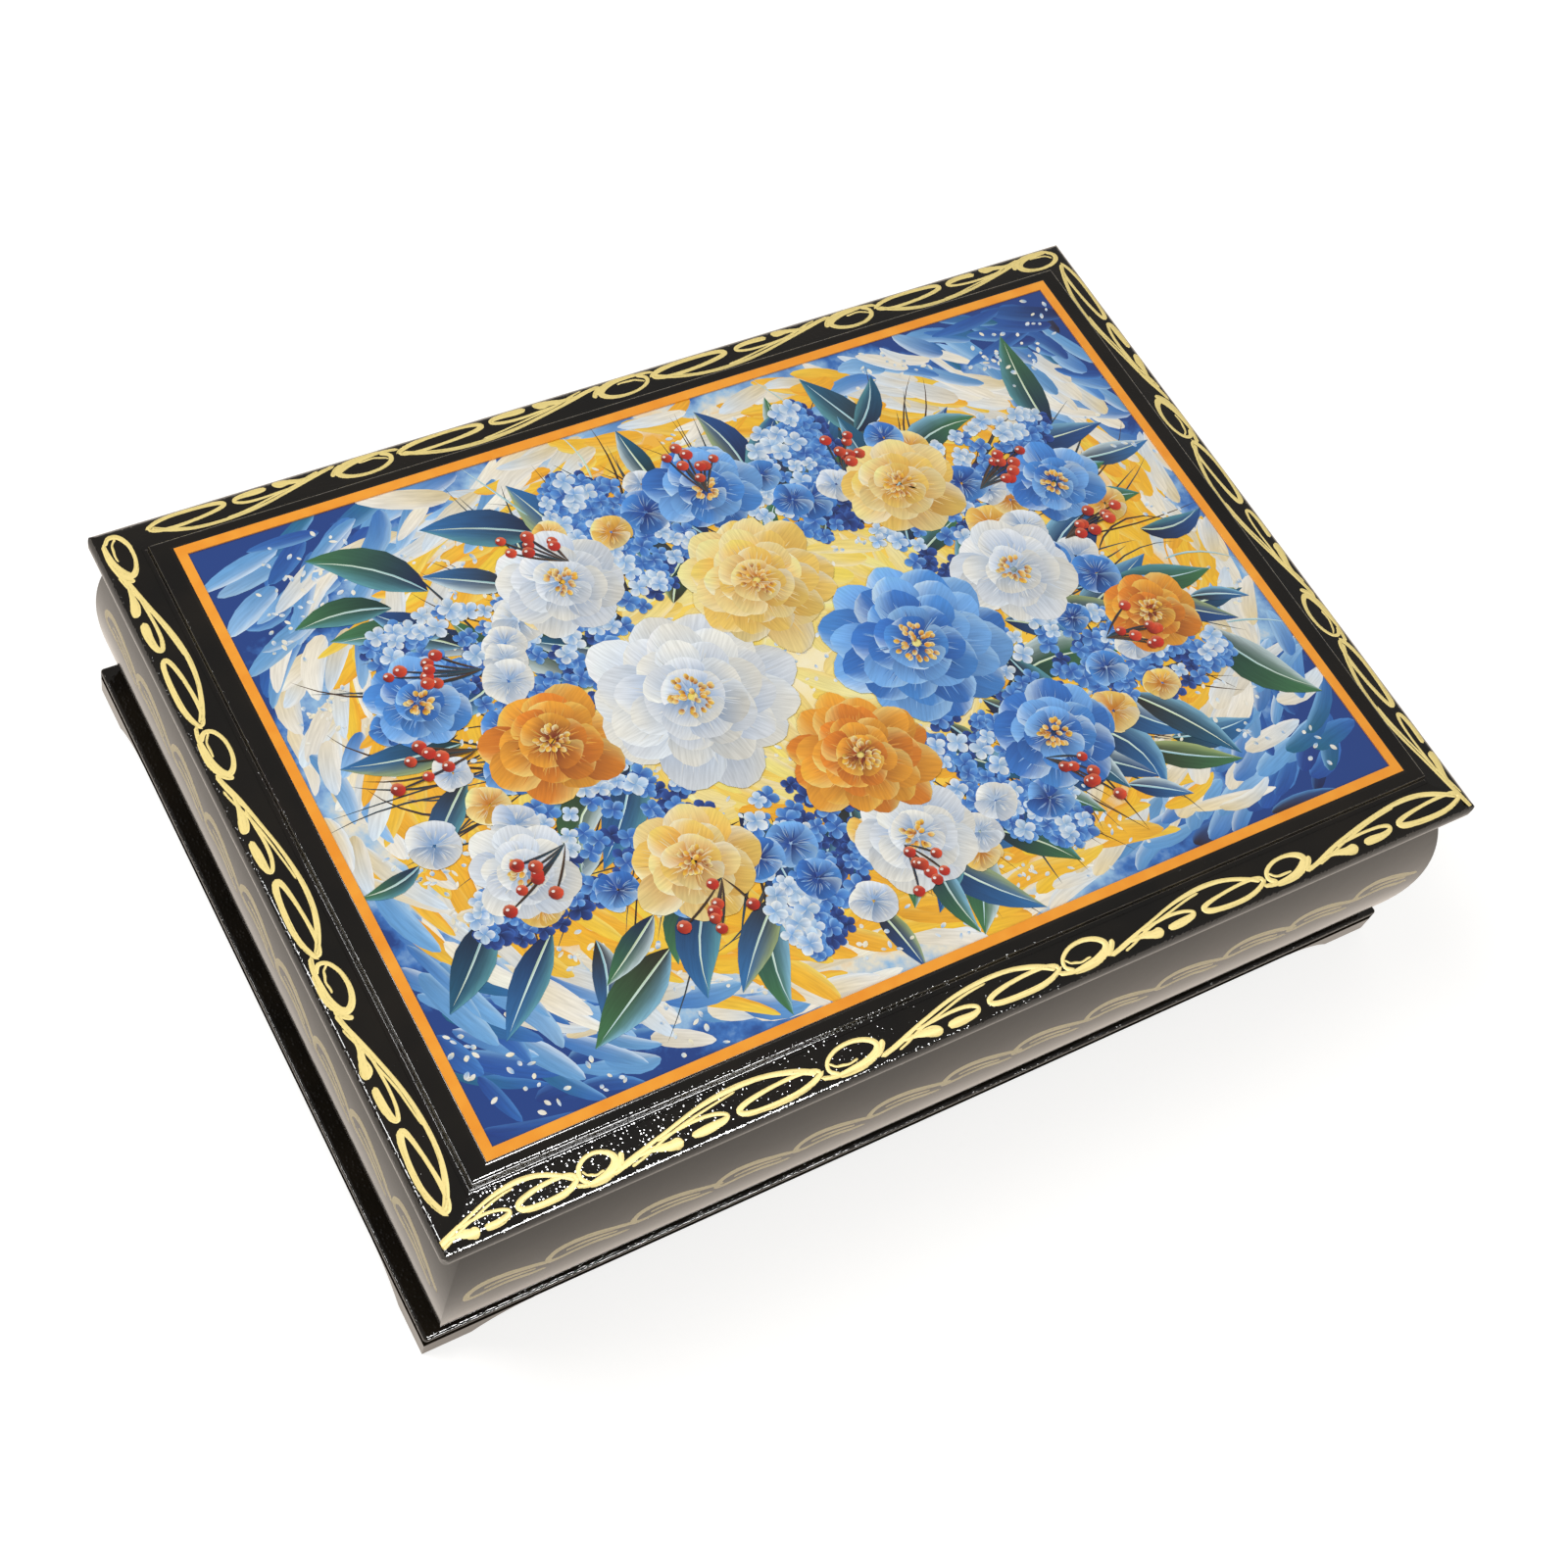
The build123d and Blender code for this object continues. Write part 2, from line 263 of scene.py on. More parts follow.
# %% Lacquered nodes
def dress(material, *names):
    """Makes a material the only one on each named CAD node's own object."""
    for name in names:
        node_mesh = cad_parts[name].data
        node_mesh.materials.clear()
        node_mesh.materials.append(material)


walls = ["front_wall", "back_wall", "left_wall", "right_wall"]
feet = ["foot_front_left", "foot_front_right", "foot_back_left", "foot_back_right"]
lined = ["front_liner", "back_liner", "left_liner", "right_liner", "floor_board", "lid_lining"]
topped = ["lid_board", "lid_raised_panel"]
dress(grainy_black, *topped)
dress(smooth_black, *walls, *feet)
dress(red_lacquer, *lined)
for name in topped + ["base_plate"]:
    black_and_gold.objects.link(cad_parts[name])
print("lacquered nodes:", len(topped + walls + feet + lined))

# %% [markdown]
# The base plate got its coats from above. Its narrow sides took little of them and stayed dull, so
# they look black where a glossy side would mirror the white sheet. Height above the table picks the
# strength of the reflection: full on the top, weak below the rounded upper edge.

# %% Base plate with dull sides
plate_black = lacquer("black_lacquer_dull_sides", *warm_black, 0.06, 0.02 * mm, 0.08 * mm)
tree = plate_black.node_tree
place = node(tree, "TexCoord")["Object"]
above_table = node(tree, "SeparateXYZ", Vector=place)["Z"]
plate_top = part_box("base_plate")[1][2]
dull_below, glossy_above = plate_top - 0.9 * mm, plate_top - 0.3 * mm
coated = {"From_Min": dull_below, "From_Max": glossy_above, "To_Min": 0.0, "To_Max": 0.5}
sheen = node(tree, "MapRange", Value=above_table, **coated)
tree.links.new(sheen[0], tree.nodes["Principled BSDF"].inputs["Specular IOR Level"])
dress(plate_black, "base_plate")
print("base plate:", plate_black.name)

# %% [markdown]
# ## Brass
# The hinges are stamped from brass strip and rolled round a pin. Rolling and handling leave fine
# lines along the strip and slightly dull, darker patches. Stretched noise gives the lines.

# %% Brass
rolled_length, rolled_width, tarnish_mm = 6 * mm, 0.25 * mm, 3
brass, tree, surface = new_material("stamped_brass")
place = node(tree, "TexCoord")["Object"]
rolled_scale = (1 / rolled_length, 1 / rolled_width, 1 / rolled_width)
stretch = node(tree, "Mapping", Vector=place, Scale=rolled_scale)
rolled = node(tree, "TexNoise", Vector=stretch[0], Scale=1.0, Detail=3.0)
tarnish = node(tree, "TexNoise", Vector=place, Scale=1 / (tarnish_mm * mm), Detail=3.0)
tone = node(tree, "ValToRGB", stops=[(0.3, "#A9803B"), (0.7, "#D9B566")], Fac=tarnish["Fac"])
rough = node(tree, "MapRange", Value=tarnish["Fac"], To_Min=0.42, To_Max=0.24)
scratch = node(tree, "Bump", Height=rolled["Fac"], Strength=0.6, Distance=0.01 * mm)
worn = {"Metallic": 1.0, "Roughness": rough[0], "Normal": scratch[0]}
metal = node(tree, "BsdfPrincipled", Base_Color=tone[0], **worn)
tree.links.new(metal[0], surface)
hinges = [f"hinge_{s}_{p}" for s in ("left", "right") for p in ("lid_leaf", "body_leaf", "pin")]
screws = ["lid_leaf_screws", "body_leaf_screws"]
dress(brass, *hinges, *screws)
for name in hinges + screws:
    brass_parts.objects.link(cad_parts[name])
print("brass nodes:", len(hinges + screws))

# %% [markdown]
# ## Pen strokes
# The gold ornament is drawn by hand with a paint pen. A stroke is a smooth line through a few
# points, with its own width at each, round at both ends. Carrying a low crowned profile along
# that line gives a film of paint whose edges sink into the lacquer, so it never floats.


# %% Smooth lines through points
def smooth_line(points, samples):
    """A Catmull-Rom curve: between two points, a cubic whose slopes come from the next neighbours."""
    points = np.asarray(points, float)
    ends = np.concatenate([2 * points[:1] - points[1:2], points, 2 * points[-1:] - points[-2:-1]])
    at = np.linspace(0, len(points) - 1, samples)
    i = np.minimum(at.astype(int), len(points) - 2)
    x = (at - i)[:, None]
    a, b, c, d = ends[i], ends[i + 1], ends[i + 2], ends[i + 3]
    return 0.5 * (2 * b + (c - a) * x + (2 * a - 5 * b + 4 * c - d) * x**2 + (3 * b - 3 * c + d - a) * x**3)


print("half way from (0, 0) to (2, 4):", smooth_line([(0, 0), (2, 4)], 3)[1].tolist())

# %% Films of paint along lines
edge_sink, turn_share, least_tip = 1.35, 0.8, 0.04


def pen_film(lines, crown, across=7):
    """Flat ribbons from lines of (along, over, width): the plan is the line plus its own normal times
    half the width, and the height is crown times (1 - sink times v squared), so the edges lie below
    the lacquer. Half circles round both ends. On the inside of a turn the half width stays under a
    share of the turn's radius, so no ribbon folds over."""
    lines = np.asarray(lines)
    way = np.gradient(lines[:, :, :2], axis=1)
    step = np.linalg.norm(way, axis=2) + 1e-9
    normal = np.stack([-way[..., 1], way[..., 0]], axis=2) / step[..., None]
    heading = np.unwrap(np.arctan2(way[..., 1], way[..., 0]), axis=1)
    turning = np.gradient(heading, axis=1) / step
    run = np.cumsum(step, axis=1) - step[:, :1]
    half = lines[:, :, 2] / 2
    to_end = np.minimum(run, run[:, -1:] - run)
    tip = np.clip(to_end / half, 0, 1)
    half = half * np.sqrt(np.clip(1 - (1 - tip) ** 2, least_tip**2, 1))
    v = np.linspace(-1, 1, across)
    inside = np.maximum(1, half[..., None] * turning[..., None] * np.sign(v) / turn_share)
    offset = half[..., None] * v / inside
    plan = lines[:, :, None, :2] + normal[:, :, None] * offset[..., None]
    height = np.broadcast_to(crown * (1 - edge_sink * v**2), plan.shape[:3])
    mark = np.stack([offset, np.broadcast_to(run[..., None], plan.shape[:3])], axis=3)
    return plan, height, mark


print("a film's edge lies", round(edge_sink - 1, 2), "of its crown below the lacquer")

# %% [markdown]
# Every stroke is a grid of points, and all strokes of one kind become one piece. Each grid has its
# own part in two maps: one in millimetres across and along the stroke, for streaks in the paint, and
# one with a square cell per stroke, onto which the finished colours can be baked.


# %% Pieces from grids
def grid_faces(count, rows, columns):
    """The four-cornered faces of a number of grids, each of rows by columns points."""
    r, c = np.meshgrid(np.arange(rows - 1), np.arange(columns - 1), indexing="ij")
    first = (r * columns + c).ravel()
    one = np.stack([first, first + columns, first + columns + 1, first + 1], axis=1)
    return (np.arange(count)[:, None, None] * rows * columns + one).reshape(-1, 4)


def add_piece(name, points, faces, material, body, slot, maps=None, colours=None, smooth=True):
    """Makes a mesh piece at the origin, with UV maps and a colour per point if given."""
    mesh = bpy.data.meshes.new(name)
    mesh.from_pydata(points.reshape(-1, 3).tolist(), [], [list(face) for face in faces])
    for map_name, places in (maps or {}).items():
        layer = mesh.uv_layers.new(name=map_name)
        layer.data.foreach_set("uv", places.reshape(-1, 2)[faces.ravel()].astype(np.float32).ravel())
    if colours is not None:
        paint = mesh.color_attributes.new("Paint", "FLOAT_COLOR", "POINT")
        filled = np.concatenate([colours.reshape(-1, 3), np.ones((points.size // 3, 1))], axis=1)
        paint.data.foreach_set("color", filled.astype(np.float32).ravel())
    mesh.polygons.foreach_set("use_smooth", np.full(len(mesh.polygons), smooth))
    mesh.materials.append(material)
    made = bpy.data.objects.new(name, mesh)
    bpy.context.scene.collection.objects.link(made)
    if slot == "black_lacquer":
        black_and_gold.objects.link(made)
    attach(made, body)
    return made


cell_margin = 0.08


def sheet_cells(count, rows, columns):
    """A bake map in which each grid has a square cell of its own, with a margin round it."""
    wide = int(np.ceil(np.sqrt(count)))
    cell = np.stack([np.arange(count) % wide, np.arange(count) // wide], axis=1)[:, None, None]
    inside = np.stack(np.meshgrid(np.linspace(0, 1, rows), np.linspace(0, 1, columns), indexing="ij"), axis=2)
    return (cell + cell_margin + (1 - 2 * cell_margin) * inside) / wide


def add_strokes(name, points, stroke_map, material, body, slot, colours=None):
    """Makes one piece of all grids in an array of points, with the stroke map and the bake map."""
    size = points.shape[:3]
    maps = {"Stroke": stroke_map, "OFBake": sheet_cells(*size)}
    add_piece(name, points, grid_faces(*size), material, body, slot, maps, colours)


print("faces in one stroke of 24 by 7 points:", len(grid_faces(1, 24, 7)))

# %% [markdown]
# ## Gold pen paint
# The gold is bronze powder in varnish: pale yellow, more satin than mirror, thinner in some streaks
# where the pen split its line. The streaks run along each stroke, so the pattern reads the
# stroke's own map, in millimetres across and along.

# %% Gold pen paint
fibre_width, fibre_length, flake_mm = 0.3125, 6.25, 0.35


def gold_paint(name, full, thin, bare, rough):
    """Bronze powder paint with streaks along the stroke: full, thin, and bare where the pen split."""
    material, tree, surface = new_material(name)
    mark = node(tree, "UVMap", {"uv_map": "Stroke"})
    fibre_scale = (1 / fibre_width, 1 / fibre_length, 1.0)
    fibres = node(tree, "Mapping", Vector=mark[0], Scale=fibre_scale)
    streak = node(tree, "TexNoise", Vector=fibres[0], Scale=1.0, Detail=2.0)
    place = node(tree, "TexCoord")["Object"]
    flake = node(tree, "TexNoise", Vector=place, Scale=1 / (flake_mm * mm), Detail=2.0)
    mixed = {"_0": flake["Fac"], "_1": 0.25, "_2": streak["Fac"]}
    blend = node(tree, "Math", {"operation": "MULTIPLY_ADD"}, **mixed)
    tone = node(tree, "ValToRGB", stops=[(0.40, bare), (0.46, thin), (0.57, full)], Fac=blend[0])
    bump = node(tree, "Bump", Height=blend[0], Strength=0.5, Distance=0.02 * mm)
    satin = {"Metallic": 0.1, "Roughness": rough, "IOR": 1.5, "Normal": bump[0]}
    film = node(tree, "BsdfPrincipled", Base_Color=tone[0], **satin)
    tree.links.new(film[0], surface)
    return material


lid_gold = gold_paint("gold_pen_on_lid", "#F3DC8C", "#D2BC6E", "#4A3E22", 0.5)
# The walls' gold is the same paint made darker and greyer: painted shade for walls that stand in shade under
# the lid.
shaded_wall_gold = gold_paint("gold_pen_on_walls_painted_shade", "#BCAE8A", "#958A6C", "#5C5444", 0.45)
print("gold paints:", lid_gold.name, shaded_wall_gold.name)

# %% [markdown]
# ## The scroll on the lid
# The same unit runs round the lid: from a node near the edge two commas grow outwards, a long stem
# arches over to the inner side, curls back into a narrow loop, and goes on through a small ring
# to the next node. The unit is drawn once, in millimetres along and in from the edge, and then
# repeated with the stretched lengths that the four sides ask for and a little unsteadiness of hand.

# %% One unit of the scroll, as points of (along, in from the edge, width of the line)
unit_length = 46.0
unit_stem = [
    (-4.2, 0.7, 0.8), (-1.8, 1.3, 1.0), (0.6, 2.1, 1.1), (3.4, 3.1, 0.8), (7.2, 4.15, 0.7),
    (11.4, 5.25, 0.7), (15.5, 5.95, 0.85), (19.8, 6.25, 1.0), (23.8, 5.95, 1.0), (27.2, 5.0, 1.05),
    (30.0, 3.7, 1.1), (31.6, 2.6, 1.0),
]
unit_twin = [
    (-1.0, 0.75, 0.45), (1.4, 1.5, 0.5), (4.4, 2.65, 0.5), (8.0, 3.65, 0.5), (11.6, 4.55, 0.5),
    (15.2, 5.25, 0.45), (18.4, 5.65, 0.4),
]
unit_loop = [
    (31.9, 2.1, 0.9), (31.7, 3.2, 0.95), (29.6, 3.85, 0.9), (26.0, 3.85, 0.8), (22.0, 3.45, 0.85),
    (18.9, 2.85, 1.0), (17.6, 2.1, 1.2), (18.4, 1.3, 1.2), (20.8, 0.85, 1.05), (24.2, 0.65, 1.05),
    (27.6, 0.8, 1.1), (30.4, 1.5, 1.1), (32.6, 2.7, 0.9),
]
unit_ring = [
    (31.5, 1.6, 0.9), (33.2, 1.1, 0.9), (34.6, 1.05, 1.0), (33.3, 2.3, 1.0), (33.7, 4.0, 0.9),
    (35.8, 5.3, 0.85), (38.6, 5.6, 0.9), (41.0, 4.9, 1.2), (42.2, 3.6, 1.6), (41.6, 2.1, 1.9),
    (39.2, 1.0, 1.8), (36.4, 0.75, 1.4), (34.0, 0.8, 0.9),
]
unit_ring_twin = [(33.8, 3.4, 0.4), (34.8, 2.5, 0.5), (36.4, 2.0, 0.5), (38.6, 2.1, 0.4)]
unit_tick = [(43.6, 3.7, 1.0), (43.2, 2.8, 1.1), (42.4, 1.8, 1.0), (41.4, 1.1, 0.9)]
unit_short_comma = [
    (0.4, 1.9, 0.8), (2.6, 1.85, 0.9), (4.6, 1.5, 1.5), (6.4, 1.1, 2.1), (7.8, 0.95, 1.9),
]
unit_long_comma = [
    (3.6, 2.9, 0.6), (7.2, 3.2, 0.6), (10.6, 3.4, 0.65), (13.6, 3.15, 0.75), (15.5, 2.4, 0.85),
    (15.2, 1.6, 1.1), (13.2, 1.2, 1.5), (11.0, 1.15, 1.6), (9.2, 1.25, 1.2),
]
stem_strokes = [unit_stem, unit_loop, unit_short_comma, unit_long_comma, unit_twin]
ring_strokes = [unit_ring, unit_ring_twin, unit_tick]
print("strokes in a unit:", len(stem_strokes + ring_strokes))

# %% The four sides of the lid's border
lid_low, lid_high = (np.array(corner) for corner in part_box("lid_board"))
panel_low, panel_high = (np.array(corner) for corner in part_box("lid_raised_panel"))
border = panel_low[0] - lid_low[0]
border_rise, top_rounding = 1.0 * mm, 2.4 * mm
nodes_along = {
    "front": (1.3, 33.0, 80.8, 125.5, 167.0, 212.0),
    "right": (4.5, 53.1, 101.6, 148.5),
    "back": (12.3, 59.1, 108.9, 160.5, 204.5),
    "left": (11.5, 56.0, 101.9, 147.5),
}


def sides(low, high):
    """The sides of a rectangle in turn: name, first corner, way along the side and way inwards."""
    corners = np.array([low, (high[0], low[1]), high, (low[0], high[1])])
    ways = np.array([(1, 0), (0, 1), (-1, 0), (0, -1)])
    return zip(("front", "right", "back", "left"), corners, ways, np.roll(ways, -1, axis=0))


def lid_surface(t):
    """Height of the lid's top at a distance in from its edge: the sloping border, and outside it the
    rounded edge, an arc that touches both the border and the upright edge."""
    slope = border_rise / border
    steep = np.hypot(1, slope)
    low = lid_high[2] - border_rise
    arc_middle = low + top_rounding * (slope - steep)
    arc = arc_middle + np.sqrt(np.maximum(top_rounding**2 - (t - top_rounding) ** 2, 0))
    return np.where(t < top_rounding * (1 - slope / steep), arc, low + t * slope)


print("border:", round(border / mm, 2), "mm wide")

# %% The unit repeated along the sides
stroke_points = 44
hand_margin, hand_squeeze = 1.0, 0.86
nearest_edge, nearest_panel = 0.95, 6.6
ring_reach, ring_scale = 42.5, 0.95


def side_strokes(starts, ring_first):
    """All strokes of one side: the unit stretched between neighbouring nodes, each point shaken a
    little, a lone ring before the first node if asked for, and no ring in the last unit."""
    lines = []
    for k, (start, end) in enumerate(zip(starts, starts[1:])):
        stretch = (end - start) / unit_length
        parts = stem_strokes + ring_strokes if k < len(starts) - 2 else stem_strokes
        placed = [(part, start, stretch) for part in parts]
        if k == 0 and ring_first:
            lone_ring = (unit_ring[2:], unit_ring_twin, unit_tick)
            placed += [(part, start - ring_reach * ring_scale, ring_scale) for part in lone_ring]
        sway = 1 + chance.normal(0, 0.03)
        for part, origin, scale in placed:
            drawn = smooth_line(part, stroke_points)
            drawn[:, 0] = origin + drawn[:, 0] * scale + chance.normal(0, 0.12)
            over = hand_margin + drawn[:, 1] * hand_squeeze * sway + chance.normal(0, 0.1)
            drawn[:, 1] = np.clip(over, nearest_edge, nearest_panel)
            waves = np.linspace(0, chance.uniform(9, 16), stroke_points)
            wobble = np.sin(waves + chance.uniform(0, 6))
            drawn[:, 1] += 0.06 * wobble
            drawn[:, 2] *= chance.normal(1, 0.06) * (1 + 0.09 * wobble)
            lines.append(drawn)
    return np.array(lines)


film_crown, film_margin = 0.05, 0.45 * mm
for name, corner, along, inward in sides(lid_low[:2], lid_high[:2]):
    lines = side_strokes(nodes_along[name], name in ("back", "left"))
    plan, height, mark = pen_film(lines, film_crown)
    side_length = abs(along) @ (lid_high - lid_low)[:2]
    s = np.clip(plan[..., 0:1] * mm, film_margin, side_length - film_margin)
    t = np.clip(plan[..., 1:2] * mm, film_margin, border)
    flat = corner + s * along + t * inward
    rise = lid_surface(t) + height[..., None] * mm
    points = np.concatenate([flat, rise], axis=3)
    add_strokes(f"gold_scroll_{name}", points, mark, lid_gold, "lid", "black_lacquer")
    print(name, "side:", len(points), "strokes")

# %% [markdown]
# ## The running loops on the walls
# On the bulging walls the pen made a simpler row: long flat loops, round at the start, that run into
# the next one, with a short line inside. Their gold is painted darker and greyer than the lid's, as
# painted shade for walls that stand in shade under the lid. The film follows the bulge: a wall's
# section is one arc, which draws in above and below its widest line. The loops keep above that line,
# and near it the film thins out so that it adds nothing to the box's size.

# %% Loops on the walls, as points of (along, height, width of the line)
wall_loop = [
    (14.8, 25.0, 0.9), (11.8, 25.5, 1.1), (8.6, 26.4, 1.1), (5.4, 26.6, 1.1), (2.4, 26.3, 1.1),
    (0.5, 26.7, 1.3), (0.4, 28.2, 1.4), (1.6, 29.5, 1.5), (4.2, 30.1, 1.6), (7.8, 29.6, 1.5),
    (11.6, 28.4, 1.4), (14.6, 27.3, 1.2), (16.4, 26.7, 0.9),
]
wall_line = [(3.2, 28.1, 0.6), (6.0, 28.2, 0.8), (9.4, 27.6, 0.8), (12.4, 26.7, 0.6)]
wall_pitch, wall_margin, wall_crown = 14.8, 3.0, 0.038
film_step, film_steps = 0.0002 * mm, 10
bulge_radius, bulge_level = 48 * mm, 24 * mm
wall_corner = np.array([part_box("right_wall")[1][0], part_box("back_wall")[1][1]])
for name, corner, along, inward in sides(-wall_corner, wall_corner):
    run = abs(along) @ (2 * wall_corner) / mm
    loops = int((run - 2 * wall_margin) // wall_pitch)
    starts = (run - loops * wall_pitch) / 2 + np.arange(loops) * wall_pitch
    starts += chance.normal(0, 0.4, loops)
    lines = np.array([smooth_line(part, stroke_points) for part in [wall_loop, wall_line] * loops])
    lines[..., 0] = lines[..., 0] * chance.normal(1, 0.03, (2 * loops, 1)) + np.repeat(starts, 2)[:, None]
    lines[..., 1] += np.repeat(chance.uniform(-0.3, 0.7, loops), 2)[:, None]
    plan, height, mark = pen_film(lines, wall_crown)
    level = plan[..., 1:2] * mm
    draw_in = bulge_radius - np.sqrt(bulge_radius**2 - (level - bulge_level) ** 2)
    layer = film_step * (np.arange(len(lines)) % film_steps)[:, None, None, None]
    out = np.minimum(height[..., None] * mm - draw_in, 0) - layer
    flat = corner + plan[..., 0:1] * mm * along - out * inward
    points = np.concatenate([flat, level], axis=3)
    add_strokes(f"gold_loops_{name}", points, mark, shaded_wall_gold, "box", "black_lacquer")
    print(name, "wall:", loops, "loops on", round(float(run), 1), "mm")

# %% [markdown]
# ## The picture's ground
# The panel is a coloured sheet under clear lacquer. Its ground glows: pale in the middle, golden
# round it, blue in the corners. The sheet lies a hair lower than the CAD sheet, which leaves room for
# the layers of paint above it. Distance from the middle, unsettled by noise, picks the colour.

# %% Ground paint
sheet_low, sheet_high = (np.array(corner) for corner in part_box("picture_sheet"))
half_x, half_y = sheet_high[0], sheet_high[1]
paint_depth = 0.29 * mm
ground_level = sheet_high[2] - paint_depth
glow_x, glow_y, wash_mm, wash_reach = 96.15 * mm, 66.67 * mm, 9, 0.4
under_varnish = {"Roughness": 0.3, "IOR": 1.5, "Coat_Weight": 1.0, "Coat_Roughness": 0.06}

ground_paint, tree, surface = new_material("picture_ground_under_varnish")
place = node(tree, "TexCoord")["Object"]
squeeze = node(tree, "Mapping", Vector=place, Scale=(1 / glow_x, 1 / glow_y, 0.0))
wash = node(tree, "TexNoise", Vector=place, Scale=1 / (wash_mm * mm), Detail=5.0, Roughness=0.6)
moved = {"_0": wash["Color"], "_1": (wash_reach, wash_reach, 0.0), "_2": squeeze[0]}
unsettled = node(tree, "VectorMath", {"operation": "MULTIPLY_ADD"}, **moved)
back = {"_0": unsettled[0], "_1": (-wash_reach / 2, -wash_reach / 2, 0.0)}
centred = node(tree, "VectorMath", {"operation": "ADD"}, **back)
away = node(tree, "VectorMath", {"operation": "LENGTH"}, _0=centred[0])
ground_stops = [
    (0.0, "#FFF3CC"), (0.28, "#FFDC62"), (0.54, "#FFC62E"), (0.74, "#F6B844"), (0.82, "#EFE6CE"),
    (0.88, "#9CC3E4"), (0.95, "#3A72BC"), (1.0, "#1B3F86"),
]
tone = node(tree, "ValToRGB", stops=ground_stops, Fac=away["Value"])
varnish = node(tree, "BsdfPrincipled", Base_Color=tone[0], **under_varnish)
tree.links.new(varnish[0], surface)
print("ground paint:", len(ground_stops), "colours")


# %% Ground sheet
def sheet_with_rim(low, high, top, rim, columns, rows):
    """A flat grid at the top level whose outer ring of points drops straight down to the low level."""
    x = np.concatenate([[low[0]], np.linspace(low[0] + rim, high[0] - rim, columns - 2), [high[0]]])
    y = np.concatenate([[low[1]], np.linspace(low[1] + rim, high[1] - rim, rows - 2), [high[1]]])
    plan = np.stack(np.meshgrid(x, y, indexing="ij"), axis=2)
    ring = ((plan == low[:2]) | (plan == high[:2])).any(axis=2)
    order = np.arange(columns * rows).reshape(columns, rows)
    loop = np.concatenate([order[0, :-1], order[:-1, -1], order[-1, :0:-1], order[:0:-1, 0]])
    return np.dstack([plan, np.where(ring, low[2], top)]), loop


rim, columns, rows = 0.04 * mm, 26, 18
points, outline = sheet_with_rim(sheet_low, sheet_high, ground_level, rim, columns, rows)
faces = grid_faces(1, columns, rows).tolist() + [outline.tolist()]
ground = add_piece("picture_ground", points, faces, ground_paint, "lid", "picture", smooth=False)
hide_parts("picture_sheet")
print("ground sheet", (2 * half_x / mm).round(1), "by", (2 * half_y / mm).round(1), "mm")

# %% [markdown]
# ## The orange line
# A plain orange line frames the sheet. It is ink with a little unevenness, under the same varnish.
# Its section, a low flat bar, is carried round the four corners of the sheet.

# %% Orange ink
orange_ink, tree, surface = new_material("orange_line_ink")
place = node(tree, "TexCoord")["Object"]
uneven = node(tree, "TexNoise", Vector=place, Scale=1 / (4 * mm), Detail=4.0)
tone = node(tree, "ValToRGB", stops=[(0.3, "#F7981E"), (0.7, "#FFA930")], Fac=uneven["Fac"])
fine = node(tree, "TexNoise", Vector=place, Scale=1 / (0.8 * mm), Detail=1.0)
bump = node(tree, "Bump", Height=fine["Fac"], Strength=0.4, Distance=0.01 * mm)
over_ink = under_varnish | {"Coat_Roughness": 0.08, "Normal": bump[0]}
ink = node(tree, "BsdfPrincipled", Base_Color=tone[0], **over_ink)
tree.links.new(ink[0], surface)
print("ink:", orange_ink.name)


# %% Orange line
def carried_round(half, inset, level):
    """A closed section carried round the corners of a rectangle. At each corner stand all the points
    of the section, each moved in from both sides by its inset and set at its level."""
    turn_x, turn_y = np.array([[-1], [1], [1], [-1]]), np.array([[-1], [-1], [1], [1]])
    plan = [turn_x * (half[0] - inset), turn_y * (half[1] - inset), np.tile(level, (4, 1))]
    around, up = np.meshgrid(np.arange(4), np.arange(len(inset)), indexing="ij")
    here, beside = around * len(inset), (around + 1) % 4 * len(inset)
    above = (up + 1) % len(inset)
    faces = np.stack([here + up, beside + up, beside + above, here + above], axis=2)
    return np.stack(plan, axis=2), faces.reshape(-1, 4)


line_width, line_edge, line_depth, line_round = 1.8 * mm, 0.06 * mm, 0.3 * mm, 0.04 * mm
inset = np.array([0, 0, line_edge, line_width - line_edge, line_width, line_width])
level = sheet_high[2] - np.array([line_depth, line_round, 0, 0, line_round, line_depth])
points, faces = carried_round((half_x, half_y), inset, level)
add_piece("orange_line", points, faces, orange_ink, "lid", "picture", smooth=False)
print("orange line faces:", len(faces))

# %% [markdown]
# ## The bead of lacquer
# The last black coat runs up against the edge of the sheet and dries there as a narrow hollow bead.
# Its curve holds every slope between flat and upright, so some part of it always mirrors a lamp as
# a thin line round the orange one. The section is a quarter of an ellipse with a foot in the panel.

# %% Bead of lacquer
bead_width, bead_height, bead_gap = 0.5 * mm, 0.25 * mm, 0.01 * mm
climb = np.linspace(0, np.pi / 2, 12)
inset = -bead_gap - bead_width * np.concatenate([[1], 1 - np.sin(climb), [0]])
level = panel_high[2] + np.concatenate([[-bead_gap], bead_height * (1 - np.cos(climb)), [-bead_gap]])
points, faces = carried_round((half_x, half_y), inset, level)
add_piece("lacquer_bead", points, faces, smooth_black, "lid", "black_lacquer", smooth=False)
print("bead faces:", len(faces))

# %% [markdown]
# ## Brush marks
# The panel shows a bouquet in the folk manner: petals and leaves made of single loaded strokes,
# light on one edge and dark on the other. One function makes any number of marks at once. A mark
# is a grid with u along it and v across, bent to an arc, and its width swells and closes with u.

# %% Brush marks as one array
end_trim, shift_across, shift_along = 0.1, 37, 11


